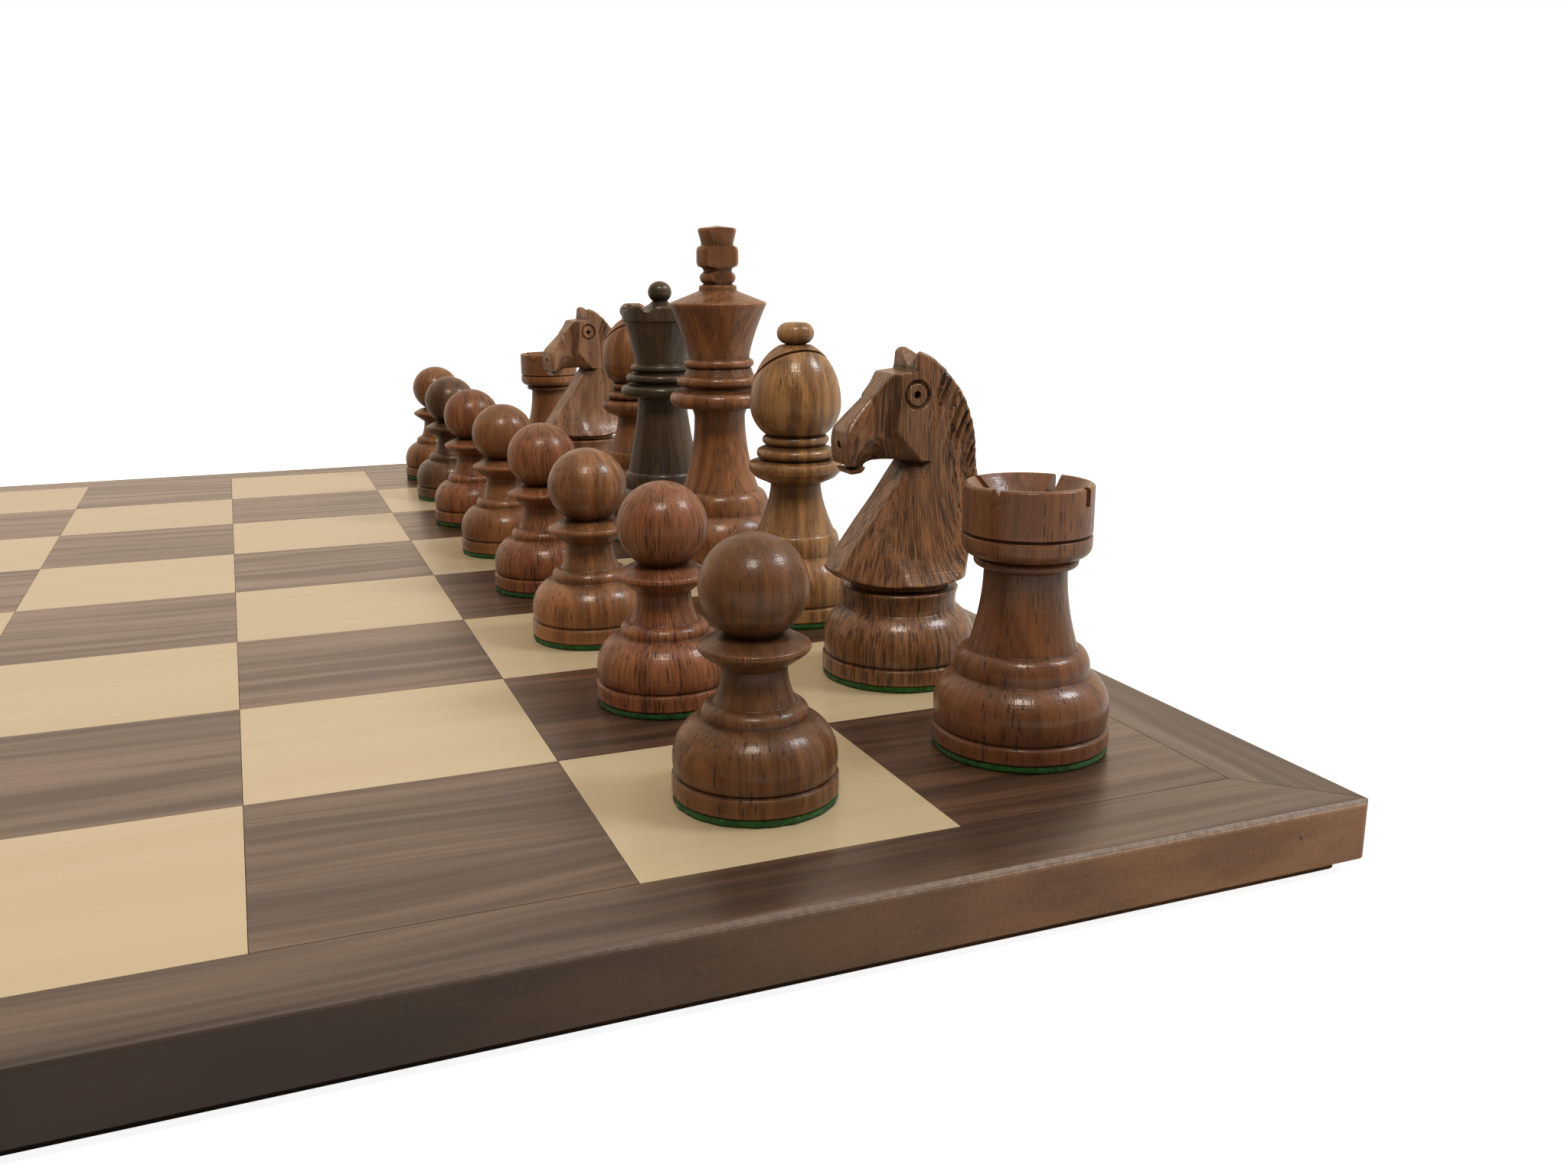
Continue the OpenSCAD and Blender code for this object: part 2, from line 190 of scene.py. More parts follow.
PROFILES = {"pawn": pawn_profile, "rook": rook_profile, "knight": knight_profile,
            "bishop": bishop_profile, "queen": queen_profile, "king": king_profile}

# ---- Mesh building ----


def soften(profile, reach=0.16, steps=3, least_turn=12):
    """The profile with each corner rounded over, as sanding leaves it."""
    pts = [np.array(p, float) for p in profile]
    out = [pts[0]]
    for before, here, after in zip(pts, pts[1:], pts[2:]):
        a, b = before - here, after - here
        la, lb = np.linalg.norm(a), np.linalg.norm(b)
        if min(la, lb) < TINY:
            continue
        turn = math.degrees(math.acos(np.clip(-(a @ b) / (la * lb), -1, 1)))
        if turn < least_turn:
            out.append(here)
            continue
        p0 = here + a / la * min(reach, la * 0.45)
        p1 = here + b / lb * min(reach, lb * 0.45)
        for i in range(steps + 1):
            t = i / steps
            out.append((1 - t) ** 2 * p0 + 2 * t * (1 - t) * here + t * t * p1)
    out.append(pts[-1])
    return out


def resampled(profile, longest=0.8):
    """The profile with its long runs split up, so that shading can follow it."""
    out = [np.array(profile[0], float)]
    for point in profile[1:]:
        start = out[-1]
        run = np.array(point, float) - start
        pieces = max(1, math.ceil(np.linalg.norm(run) / longest))
        out += [start + run * (i + 1) / pieces for i in range(pieces)]
    return out


def profile_shade_and_wear(profile):
    """How deep in a crease (0 to 1) and how much on an edge (0 to 1) each profile point lies."""
    crease_reach = 5
    edge_reach = 0.8
    pts = np.array(profile)
    crease, edge = [], []
    for i, here in enumerate(pts):
        before, after = pts[max(i - 1, 0)], pts[min(i + 1, len(pts) - 1)]
        along = after - before
        normal = np.array([along[1], -along[0]])
        normal /= max(np.linalg.norm(normal), TINY)
        offset = pts - here
        distance = np.linalg.norm(offset, axis=1)
        near = (distance > 0.25) & (distance < crease_reach)
        rise = offset[near] @ normal / distance[near] * np.sqrt(1 - distance[near] / crease_reach)
        later = np.arange(len(pts))[near] > i
        walls = rise[later].max(initial=0) + rise[~later].max(initial=0)
        crease.append(min(0.75 * walls, 1))
        close = (distance > TINY) & (distance < edge_reach)
        bend = -(offset[close] @ normal / distance[close]).mean() if close.any() else 0
        edge.append(np.clip((bend - 0.12) * 2.4, 0, 1))
    return np.array(crease), np.array(edge)


def store_shade_and_wear(mesh, crease, edge):
    """The crease values, for painted shade, and the edge values, for wear, kept on the mesh's points for
    the wood to read.
    """
    for key, values in (("crease", crease), ("edge", edge)):
        layer = mesh.attributes.new(key, "FLOAT", "POINT")
        layer.data.foreach_set("value", np.asarray(values, np.float32))


def vertex_rows(mesh, key):
    """The mesh's points ("co") or their normals ("normal") as the rows of an array."""
    values = np.empty(len(mesh.vertices) * 3)
    mesh.vertices.foreach_get(key, values)
    return values.reshape(-1, 3)


def shade_and_wear_by_profile(mesh, profile):
    """Painted crease shade and edge wear of a turned mesh, from the nearest point of the profile it was
    turned to.
    """
    pts = np.array(resampled(profile))
    crease, edge = profile_shade_and_wear(pts)
    co = vertex_rows(mesh, "co") / MM
    flat = np.stack([np.hypot(co[:, 0], co[:, 1]), co[:, 2]], 1)
    nearest = ((flat[:, None, :] - pts[None, :, :]) ** 2).sum(2).argmin(1)
    store_shade_and_wear(mesh, crease[nearest], edge[nearest])


def new_mesh(name, points_mm, faces):
    """A mesh in metres, from points in millimetres."""
    mesh = bpy.data.meshes.new(name)
    mesh.from_pydata([tuple(np.asarray(p) * MM) for p in points_mm], [], faces)
    mesh.validate()
    mesh.update()
    return mesh


def lathe(name, profile, segments=128):
    """A closed solid of revolution about Z."""
    rims = [p for p in profile if p[0] > TINY]
    angles = np.linspace(0, 2 * math.pi, segments, endpoint=False)
    points = [(r * math.cos(a), r * math.sin(a), z) for r, z in rims for a in angles]
    low_pole, high_pole = len(points), len(points) + 1
    points += [(0, 0, profile[0][1]), (0, 0, profile[-1][1])]
    faces = []
    for k in range(len(rims) - 1):
        for j in range(segments):
            n = (j + 1) % segments
            faces.append((k * segments + j, k * segments + n,
                          (k + 1) * segments + n, (k + 1) * segments + j))
    last = (len(rims) - 1) * segments
    for j in range(segments):
        n = (j + 1) % segments
        faces.append((low_pole, n, j))
        faces.append((high_pole, last + j, last + n))
    return new_mesh(name, points, faces)


def box_mesh(name, size):
    """A plain box about the origin, used only to cut with."""
    x, y, z = (s / 2 for s in size)
    points = [(sx * x, sy * y, sz * z) for sx in (-1, 1) for sy in (-1, 1) for sz in (-1, 1)]
    faces = [(0, 1, 3, 2), (4, 6, 7, 5), (0, 4, 5, 1), (2, 3, 7, 6), (0, 2, 6, 4), (1, 5, 7, 3)]
    return new_mesh(name, points, faces)


def at(x, y, z, rx=0, ry=0, rz=0):
    """A placing: millimetres and degrees."""
    turn = Euler([math.radians(a) for a in (rx, ry, rz)]).to_matrix().to_4x4()
    return Matrix.Translation(Vector((x, y, z)) * MM) @ turn


def scene_object(name, mesh, place=None):
    obj = bpy.data.objects.new(name, mesh)
    bpy.context.scene.collection.objects.link(obj)
    if place is not None:
        obj.matrix_world = place
    return obj


def carve(mesh, cutters):
    """The mesh with each (cutter mesh, placing) taken out of it."""
    work = scene_object("work", mesh)
    tools = []
    for i, (cutter, place) in enumerate(cutters):
        tool = scene_object(f"tool_{i}", cutter, place)
        cut = work.modifiers.new(f"cut_{i}", "BOOLEAN")
        cut.operation = "DIFFERENCE"
        cut.solver = "EXACT"
        cut.object = tool
        tools.append(tool)
    bpy.context.view_layer.update()
    graph = bpy.context.evaluated_depsgraph_get()
    result = bpy.data.meshes.new_from_object(work.evaluated_get(graph))
    result.name = mesh.name + "_carved"
    for obj in [work] + tools:
        bpy.data.objects.remove(obj)
    return result


def smooth(mesh, angle=32):
    """Smooth shading, with edges sharper than the angle kept crisp."""
    mesh.polygons.foreach_set("use_smooth", [True] * len(mesh.polygons))
    mesh.set_sharp_from_angle(angle=math.radians(angle))
    mesh.update()
    return mesh


def turned_mesh(kind):
    return lathe(kind + "_turned", resampled(soften(PROFILES[kind])))


def rook_mesh():
    """The rook, its battlements parted by two saw cuts across the crown."""
    cut_depth = 3.1
    saw = box_mesh("saw", (40, saw_w, cut_depth * 2))
    return carve(turned_mesh("rook"), [(saw, at(0, 0, rook_top)), (saw, at(0, 0, rook_top, rz=90))])


def bishop_mesh():
    """The bishop, with a slanting saw cut in its mitre."""
    cut_rise = 39
    cut_z = 58.5
    cut_past_axis = 5
    reach = 30
    saw = box_mesh("mitre_saw", (reach, reach, mitre_w))
    middle = cut_past_axis - reach / 2
    tilt = math.radians(-cut_rise)
    return carve(turned_mesh("bishop"),
                 [(saw, at(0, middle * math.cos(tilt), cut_z + middle * math.sin(tilt),
                           rx=-cut_rise))])


def queen_mesh():
    """The queen, with a scalloped coronet."""
    scallop_r = 3
    scallop_z = 71
    crown_r = 11
    half = 4
    gouge = lathe("gouge", [(0, -half), (scallop_r, -half), (scallop_r, half), (0, half)], 48)
    cuts = []
    for i in range(scallops):
        turn = 360 * i / scallops
        c, s = math.cos(math.radians(turn)), math.sin(math.radians(turn))
        cuts.append((gouge, at(crown_r * c, crown_r * s, scallop_z, ry=90, rz=turn)))
    return carve(turned_mesh("queen"), cuts)


def king_mesh():
    """The king, its finial flat on two sides."""
    reach = 10
    flat = box_mesh("flat", (reach, 2 * reach, 2 * reach))
    middle = finial_t / 2 + reach / 2
    return carve(turned_mesh("king"),
                 [(flat, at(side * middle, 0, finial_z + reach)) for side in (-1, 1)])


MAKERS = {"rook": rook_mesh, "bishop": bishop_mesh, "queen": queen_mesh, "king": king_mesh}


def piece_mesh(kind):
    mesh = MAKERS[kind]() if kind in MAKERS else turned_mesh(kind)
    shade_and_wear_by_profile(mesh, soften(PROFILES[kind]))
    return smooth(mesh)


def felt_mesh(kind, seed):
    """A cut disc of felt whose edge wavers a little, as scissors and wear leave it."""
    inset = 0.2
    rng = np.random.default_rng(seed)
    r = FOOT_RADIUS[kind] - inset
    profile = [(0, 0), (r - 0.5, 0), (r - 0.1, 0.12), (r, 0.4), (r + 0.05, 0.8), (r - 0.05, felt_t),
               (r - 0.6, felt_t), (0, felt_t)]
    mesh = lathe(f"{kind}_felt_disc", profile, 160)
    co = vertex_rows(mesh, "co")
    angle = np.arctan2(co[:, 1], co[:, 0])
    radius = np.hypot(co[:, 0], co[:, 1])
    waver = sum(rng.normal(0, 0.09 / (1 + k / 9)) * np.sin(k * angle + rng.uniform(0, 6.28))
                for k in range(3, 40, 4))
    rim = np.clip(radius / MM - (r - 1), 0, 1)
    scale = 1 + np.clip(waver, -0.3, 0.22) * rim * MM / np.maximum(radius, TINY)
    co[:, :2] *= scale[:, None]
    mesh.vertices.foreach_set("co", co.ravel())
    return smooth(mesh, 60)


# ---- The knight's carved head ----

head_top = 66.1
eye_x = 0.35
eye_z = 57.3
mane_strokes = 12
mane_top = 63.3
mane_pitch = 2.08
jaw_z = 43.6
jaw_corner = (0.6, 44.3)
mouth_z = 43.5
mouth_end_x = -10.7
nostril_z = 47.7
nostril_r = 0.72
nostril_end_x = -12.6
# A distance that leaves a shape as it is
nowhere = -9

# Half the head's thickness, each point (height, half thickness)
neck_half = [(18, 14.6), (20.5, 12.6), (23, 10.8), (25.5, 9.5), (29.5, 8.2), (34.5, 7.3), (42, 6.5),
             (50, 6.1), (57, 5.8), (66.2, 5.2)]
# The turned blank that the head is carved from, each point (radius, height)
head_blank_profile = [
    (9.9, neck_z), (10, 19.8), (11.6, 20.2), (12.7, 20.7), (14.2, 21.4), (15.2, 22.2), (15.8, 23.2),
    (15.9, 25), (15.6, 34), (15.2, 41), (14.9, 43), (14.7, 46), (14.5, 48.6), (14, 51.4),
    (13.2, 53.9), (12.5, 55.8), (11.7, 57.4), (10.6, 59), (9.7, 60.1), (8, 62.3), (6.1, 64.4),
    (4.6, head_top), (0.1, 66.3)]
# The head's side view, each point (forward is -X, height)
head_outline = [
    (-17, 18), (-17, 21.8), (-15.2, 23.2), jaw_corner, (-2.4, 44.6), (-7.5, 44.5), (-8.9, 44.2),
    (-9.5, 43.7), (-9.6, 42.8), (-10.2, 42.2), (-12.2, 42), (-13, 43.2), (-13.5, 45), (-13.8, 48),
    (-13.7, 50.6), (-12.7, 52), (-10.8, 54), (-8.7, 56.1), (-6.9, 58), (-5.1, 60), (-3.9, 61.4),
    (0.4, 61.8), (0.7, 65.2), (1.2, 66), (2.6, head_top), (4.3, 64.8), (6.3, 62.7), (9.5, 61.5),
    (15.9, 58), (15.9, 41), (14.6, 31), (14, 24), (14, 18)]


def soft_max(a, b, k):
    """The larger of two distances, with the crease between them rounded over about k."""
    h = np.clip(0.5 - 0.5 * (b - a) / k, 0, 1)
    return b + (a - b) * h + k * h * (1 - h)


def segment_distance(x, z, start, end):
    """How far points lie from a straight line between two points, and how far along it (0 to 1)."""
    (x0, z0), (x1, z1) = start, end
    ex, ez = x1 - x0, z1 - z0
    t = np.clip(((x - x0) * ex + (z - z0) * ez) / (ex * ex + ez * ez), 0, 1)
    return np.hypot(x - x0 - t * ex, z - z0 - t * ez), t


def polygon_distance(x, z, points):
    """Signed distance to a closed outline, negative inside."""
    best = np.full(x.shape, 1e9)
    sign = np.ones(x.shape)
    for start, end in zip(points, points[1:] + points[:1]):
        best = np.minimum(best, segment_distance(x, z, start, end)[0])
        (x0, z0), (x1, z1) = start, end
        slope = (x1 - x0) / ((z1 - z0) or TINY)
        crosses = ((z0 > z) != (z1 > z)) & (x < x0 + (z - z0) * slope)
        sign = np.where(crosses, -sign, sign)
    return best * sign


def flat_cut(x, side, z, point, normal):
    """Signed distance to a flat cut made alike on both sides of the head.

    It is positive on the side that the normal points to, and is given as on the side at -Y.
    """
    n = np.array(normal, float) / np.linalg.norm(normal)
    return (x - point[0]) * n[0] + (-side - point[1]) * n[1] + (z - point[2]) * n[2]


def stroke_depth(x, z, points, width, depth):
    """Depth of a V-shaped stroke that tapers to both ends of a path."""
    out = np.zeros(x.shape)
    for k, (start, end) in enumerate(zip(points, points[1:])):
        distance, t = segment_distance(x, z, start, end)
        along = (k + t) / (len(points) - 1)
        taper = np.sqrt(np.clip(np.minimum(along / 0.2, (1 - along) / 0.35), 0.02, 1))
        out = np.maximum(out, depth * taper * np.clip(1 - distance / (width * taper), 0, 1))
    return out


def step_share(x, z):
    """How far across the slanted facet ahead of the eye a point is: 0 cheek, 1 nose."""
    step_x = np.interp(z, [50.6, 55, 60.2], [-4.2, -3.3, -2.8])
    width = np.interp(z, [50.6, 53.9, 56.4, 58.9], [0.7, 1.6, 2.2, 2.8])
    return np.clip((step_x - x) / width, 0, 1)


def nose_half_thickness(x, z):
    """Half the nose's thickness, which thins towards its ridge."""
    foot_z = 49
    ridge_z = np.interp(x, [-13.7, -12.7, -10.8, -8.7, -6.9, -5.1], [50.6, 52, 54, 56.1, 58, 60])
    ridge_half = np.interp(x, [-13.8, -10.8, -8.7, -5.6], [4.1, 3.1, 2.7, 3.5])
    foot_half = np.interp(x, [-12, -5], [4.2, 3.7])
    rise = np.clip((z - foot_z) / np.maximum(ridge_z - foot_z, 1), 0, 1)
    return foot_half + (ridge_half - foot_half) * rise


def eye_relief(x, z):
    """The eye: a ring groove round a flat disc with a drilled centre."""
    r = np.hypot(x - eye_x, (z - eye_z) * 0.95)

    def ridge(middle):
        return np.clip(1 - np.abs(r - middle) / 0.3, 0, 1)
    groove = 0.62 * np.clip(1.15 - np.abs(r - 2.4) / 0.4, 0, 1)
    drilled = 1.6 * np.clip((0.72 - r) / 0.22, 0, 1)
    return 0.12 * ridge(3.0) - 0.12 * ridge(1.2) - groove - drilled


def mane_relief(x, z):
    """The mane: steep strokes beside the back edge, each running down and forward from it."""
    relief = np.zeros(x.shape)
    for i in range(mane_strokes):
        z_top = mane_top - mane_pitch * i + 0.3 * math.sin(3.1 * i)
        x_top = np.interp(z_top, [36, 43, 48, 54, 58, 62], [15, 14.6, 14.2, 12.7, 10.9, 7.9])
        reach = 0.92 + 0.14 * math.sin(2.3 * i)
        path = [(x_top + 0.4, z_top + 0.6)]
        path += [(x_top - run * reach, z_top - fall * reach)
                 for run, fall in ((1.7, 2.9), (3.1, 6.2), (3.9, 9.5))]
        relief = relief - stroke_depth(x, z, path, 0.6, 0.72 - 0.15 * math.sin(1.3 * i))
        # Two finer strokes ahead of it
        for k in (0, 1):
            drop = 1.1 + 1.3 * k + 0.4 * math.sin(1.9 * i + k)
            inner = [(px - 0.9 - 0.9 * k, pz - drop) for px, pz in path[k:]]
            relief = relief - stroke_depth(x, z, inner, 0.36, 0.26)
    return relief


def head_half_thickness(x, z):
    """Half the head's thickness at each point of its side view."""
    blur = 1.6
    nose_low_z = 38
    zs, hs = zip(*neck_half)
    half = (np.interp(z - blur, zs, hs) + 2 * np.interp(z, zs, hs) + np.interp(z + blur, zs, hs)) / 4
    nose = nose_half_thickness(x, z)
    half = np.where(z > nose_low_z, half + (nose - half) * step_share(x, z), half)
    return half + eye_relief(x, z) + mane_relief(x, z)


def blank_distance(x, y, z):
    """The turned blank, scalloped where the mane's strokes run out over its back edge."""
    lean_top = 42
    rs, zs = zip(*head_blank_profile)
    scallop = 0.2 * np.abs(np.sin((z - mane_top) * math.pi / mane_pitch)) ** 0.7 - 0.08
    scallop = scallop * np.clip((z - 37) / 4, 0, 1) * np.clip((64.5 - z) / 2, 0, 1)
    d = np.hypot(x, y) - np.interp(z, zs, rs) - scallop * np.clip(x / 6, 0, 1)
    d = np.maximum(d, np.maximum(neck_z - z, z - head_top))
    # The back leans in towards the foot
    back = np.hypot(x + 1.8, y) - (14.6 + (z - 18) * 0.106)
    return np.maximum(d, np.where(z < lean_top, back, nowhere))


def chest_distance(x, side, z):
    """The facets that take the corners off the chest, only below the jaw."""
    chest = flat_cut(x, side, z, (0, 0, 0), (-0.524, -0.777, 0.3486)) - 19.05
    corner = flat_cut(x, side, z, (0, 0, 0), (-0.609, -0.644, 0.4633)) - 22.65
    jaw_line = [(-30, 10), (-30, 36), (-7, 39), jaw_corner, (12, 44.3), (12, 10)]
    below_jaw = polygon_distance(x[:, :1, :], z[:, :1, :], jaw_line)
    return np.minimum(soft_max(chest, corner, 0.8), -below_jaw)


def cheek_hollow(x, side, z):
    """The gouged hollow under the cheek: slanted facets that run into each other."""
    facet_round = 1.2
    under = flat_cut(x, side, z, (-5, -3.85, 50.4), (0.14, -0.90, -0.42))
    behind = flat_cut(x, side, z, (-1.75, -5.85, 47.3), (-0.56, -0.68, -0.47))
    muzzle = flat_cut(x, side, z, (-10.4, -4.1, 48.8), (0.55, -0.8, -0.22))
    hollow = soft_max(soft_max(-under, -behind, facet_round), -muzzle, facet_round)
    return soft_max(hollow, jaw_z - z, 0.3)


def with_muzzle(d, x, y, z):
    """The head with the muzzle's worn corners, narrower lower lip, mouth and nostril."""
    side = np.abs(y)
    worn = flat_cut(x, side, z, (-10.6, -3.95, 51.6), (-0.25, -0.86, 0.44))
    d = np.where(z > 45, soft_max(d, np.where(x < -7.6, worn, nowhere), 0.3), d)
    on_lip = (z > 40) & (z < jaw_z) & (x < -8)
    lip_half = np.interp(z, [42, jaw_z], [2.7, 3.7])
    d = soft_max(d, np.where(on_lip, side - lip_half, nowhere), 0.4)
    mouth = np.maximum(np.abs(z - mouth_z) - 0.36, x - mouth_end_x)
    nostril = np.maximum(np.hypot(y, (z - nostril_z) * 0.85) - nostril_r, x - nostril_end_x)
    return np.maximum(d, np.maximum(-mouth, -nostril))


def head_distance(x, y, z):
    """Signed distance, about, to the carved head, for arrays of points in millimetres."""
    edge_round = 0.4
    side = np.abs(y)
    flat_x, flat_z = x[:, :1, :], z[:, :1, :]
    d = blank_distance(x, y, z)
    d = soft_max(d, polygon_distance(flat_x, flat_z, head_outline), edge_round)
    d = soft_max(d, (side - head_half_thickness(flat_x, flat_z)) * 0.85, edge_round)
    d = soft_max(d, chest_distance(x, side, z), 0.25)
    # A shallow hollow beside the chest facet, where the side flares out over the foot
    valley = np.hypot(x + 3.4 + 0.06 * (z - 28), (z - 27.5) * 0.28) / 3
    d = d + 0.4 * np.exp(-valley ** 2) * np.clip(side / 4, 0, 1)
    d = np.maximum(d, -cheek_hollow(x, side, z))
    d = with_muzzle(d, x, y, z)
    # The V between the ears, opening out towards the back
    ears = 62.2 + 0.92 * np.abs(y + 0.85) - 0.35 * np.clip(x - 0.8, 0, 9) - z
    return soft_max(d, -ears * 0.7, 0.15)


def head_depth_lookup():
    """A function that reads the head's distance at loose points off a coarse grid."""
    low, step, counts = np.array([-21.0, -17.0, 14.0]), 0.5, np.array([86, 69, 118])
    axes = [low[i] + step * np.arange(counts[i]) for i in range(3)]
    grid = head_distance(*np.meshgrid(*axes, indexing="ij"))

    def lookup(points):
        where = np.clip((points - low) / step, 0, counts - 1.001)
        base = where.astype(int)
        part = where - base
        total = np.zeros(len(points))
        for corner in np.ndindex(2, 2, 2):
            weight = np.abs(1 - np.array(corner) - part).prod(1)
            total += weight * grid[tuple((base + corner).T)]
        return total
    return lookup


def neighbours(values, axis):
    """Each value along an axis but the last, and the one after it."""
    count = values.shape[axis]
    return values.take(range(count - 1), axis), values.take(range(1, count), axis)


def surface_net(distance, low, high, step):
    """Points and quads of the surface where a distance function is zero."""
    axes = [np.arange(low[i], high[i] + step, step) for i in range(3)]
    d = distance(*np.meshgrid(*axes, indexing="ij"))
    shape = np.array(d.shape)
    total = np.zeros(tuple(shape - 1) + (3,))
    count = np.zeros(tuple(shape - 1))
    # A cell's point is the mean of the places where its twelve edges cross the surface
    for axis in range(3):
        here, after = neighbours(d, axis)
        crossed = (here < 0) != (after < 0)
        along = np.where(crossed, here / np.where(crossed, here - after, 1), 0)
        u, v = [i for i in range(3) if i != axis]
        for i, j in np.ndindex(2, 2):
            cells = [slice(None)] * 3
            cells[u] = slice(i, shape[u] - 1 + i)
            cells[v] = slice(j, shape[v] - 1 + j)
            hit = crossed[tuple(cells)]
            count += hit
            total[..., axis] += along[tuple(cells)]
            total[..., u] += hit * i
            total[..., v] += hit * j
    used = count > 0
    index = np.full(count.shape, -1)
    index[used] = np.arange(used.sum())
    points = np.array(low) + (np.argwhere(used) + total[used] / count[used][:, None]) * step
    # A quad joins the four cells round each edge that crosses the surface
    quads = []
    for axis in range(3):
        here, after = neighbours(d < 0, axis)
        u, v = (axis + 1) % 3, (axis + 2) % 3
        for flip, crossing in ((False, here & ~after), (True, ~here & after)):
            where = np.argwhere(crossing)
            where = where[(where[:, u] > 0) & (where[:, v] > 0)]
            corners = []
            for du, dv in ((-1, -1), (0, -1), (0, 0), (-1, 0)):
                cell = where.copy()
                cell[:, u] += du
                cell[:, v] += dv
                corners.append(index[tuple(cell.T)])
            quad = np.stack(corners, 1)
            quads.append(quad[:, ::-1] if flip else quad)
    return points, np.concatenate(quads)


def knight_head_mesh():
    step = 0.23
    points, quads = surface_net(head_distance, (-16.3, -12.6, 18.2), (16.3, 12.7, 66.6), step)
    mesh = new_mesh("knight_head_carved", points, quads.tolist())
    normals = vertex_rows(mesh, "normal")
    # Creases, for painted shade, and edges, for wear, from how far the surface falls short of a probe set
    # off it or into it
    depth_at = head_depth_lookup()
    crease = np.zeros(len(points))
    for reach in (0.7, 1.6, 3.2):
        crease += np.clip(1 - depth_at(points + normals * reach) / reach, 0, 1) / 3
    probe = 0.6
    edge = np.clip((probe + depth_at(points - normals * probe)) / probe * 1.6 - 0.25, 0, 1)
    # A rubbed patch low on each side of the nose
    x, y, z = points.T
    wear_and_highlight = np.exp(-((x + 9.7) / 1.3) ** 2 - ((z - 50.4) / 1.3) ** 2) * (np.abs(y) > 1.5)
    edge = np.maximum(edge, wear_and_highlight)
    # Painted shade on the slanted facet ahead of the eye, which faces away from the lights
    share = step_share(x, z)
    painted_shade_facet = (share > 0.03) & (share < 0.97) & (np.abs(y) > 3) & (z > 50.8) & (z < 61)
    crease = np.where(painted_shade_facet, np.maximum(crease, 0.38), crease)
    store_shade_and_wear(mesh, np.clip(crease * 1.6, 0, 1), edge)
    return smooth(mesh, 40)


# ---- Shader building ----


def fill(tree, node, inputs):
    """Gives a node its inputs, each as a socket or as a value."""
    for key, value in inputs.items():
        if isinstance(value, bpy.types.NodeSocket):
            tree.links.new(value, node.inputs[key])
        else:
            node.inputs[key].default_value = value


def put(tree, kind, inputs, **settings):
    """A new shader node with its settings and inputs."""
    node = tree.nodes.new("ShaderNode" + kind)
    for key, value in settings.items():
        setattr(node, key, value)
    fill(tree, node, inputs)
    return node


def calc(tree, operation, a, b=0.0):
    return put(tree, "Math", {0: a, 1: b}, operation=operation).outputs[0]


def times_plus(tree, a, factor, extra):
    """A value times a factor, plus another value."""
    return put(tree, "Math", {0: a, 1: factor, 2: extra}, operation="MULTIPLY_ADD").outputs[0]


def vector(tree, operation, a, b):
    return put(tree, "VectorMath", {0: a, 1: b}, operation=operation).outputs[0]


def scaled(tree, a, factor):
    """A vector made longer or shorter by a number."""
    return put(tree, "VectorMath", {0: a, "Scale": factor}, operation="SCALE").outputs[0]


def combine(tree, x, y, z):
    return put(tree, "CombineXYZ", {0: x, 1: y, 2: z}).outputs[0]


def split(tree, a):
    """The three numbers of a vector."""
    return put(tree, "SeparateXYZ", {0: a}).outputs


def coordinates(tree, kind):
    return put(tree, "TexCoord", {}).outputs[kind]


def remap(tree, value, low, high, to_low=0.0, to_high=1.0):
    """The value's stretch from low to high, eased onto to_low to to_high."""
    return put(tree, "MapRange", {"Value": value, "From Min": low, "From Max": high, "To Min": to_low,
                                  "To Max": to_high}, interpolation_type="SMOOTHSTEP").outputs["Result"]


def mix(tree, factor, a, b, kind="MIX"):
    """Two colours mixed."""
    return put(tree, "Mix", {0: factor, 6: a, 7: b}, data_type="RGBA", blend_type=kind).outputs[2]


def noise(tree, where, scale, detail=2.0, roughness=0.5):
    return put(tree, "TexNoise", {"Vector": where, "Scale": scale, "Detail": detail,
                                  "Roughness": roughness}).outputs[0]


def grain(tree, where, squeeze, scale, detail=2.0, roughness=0.5):
    """Noise drawn out along each axis whose number in squeeze is under 1."""
    return noise(tree, vector(tree, "MULTIPLY", where, squeeze), scale, detail, roughness)


def spots(tree, where, size, softness, scale=1.0):
    """1 inside scattered spots of about a size, 0 outside them."""
    cells = put(tree, "TexVoronoi", {"Vector": where, "Scale": scale, "Randomness": 1.0}, feature="F1")
    return remap(tree, calc(tree, "SUBTRACT", size, cells.outputs["Distance"]), 0.0, softness)


def relief(tree, height, strength, depth):
    """The normal of a relief, its depth in metres."""
    return put(tree, "Bump", {"Height": height, "Strength": strength, "Distance": depth}).outputs[0]


def srgb(r, g, b):
    """A linear colour from 0 to 255 screen values."""
    def linear(c):
        c = c / 255
        return c / 12.92 if c <= 0.04045 else ((c + 0.055) / 1.055) ** 2.4
    return (linear(r), linear(g), linear(b), 1)


def tint(colour, factor):
    return tuple(min(1, c * factor) for c in colour[:3]) + (1,)


def shaded(tree, colour, factor):
    """A colour multiplied by a grey level given as a socket."""
    grey = put(tree, "CombineColor", {0: factor, 1: factor, 2: factor}).outputs[0]
    return mix(tree, 1.0, colour, grey, "MULTIPLY")


def new_material(name):
    material = bpy.data.materials.new(name)
    material.use_nodes = True
    tree = material.node_tree
    tree.nodes.clear()
    out = tree.nodes.new("ShaderNodeOutputMaterial")
    shader = tree.nodes.new("ShaderNodeBsdfPrincipled")
    tree.links.new(shader.outputs[0], out.inputs[0])
    return material, tree, shader


def millimetres(tree, shift=(0, 0, 0)):
    """The object's own coordinates in millimetres, shifted."""
    return vector(tree, "ADD", scaled(tree, coordinates(tree, "Object"), 1 / MM), shift)


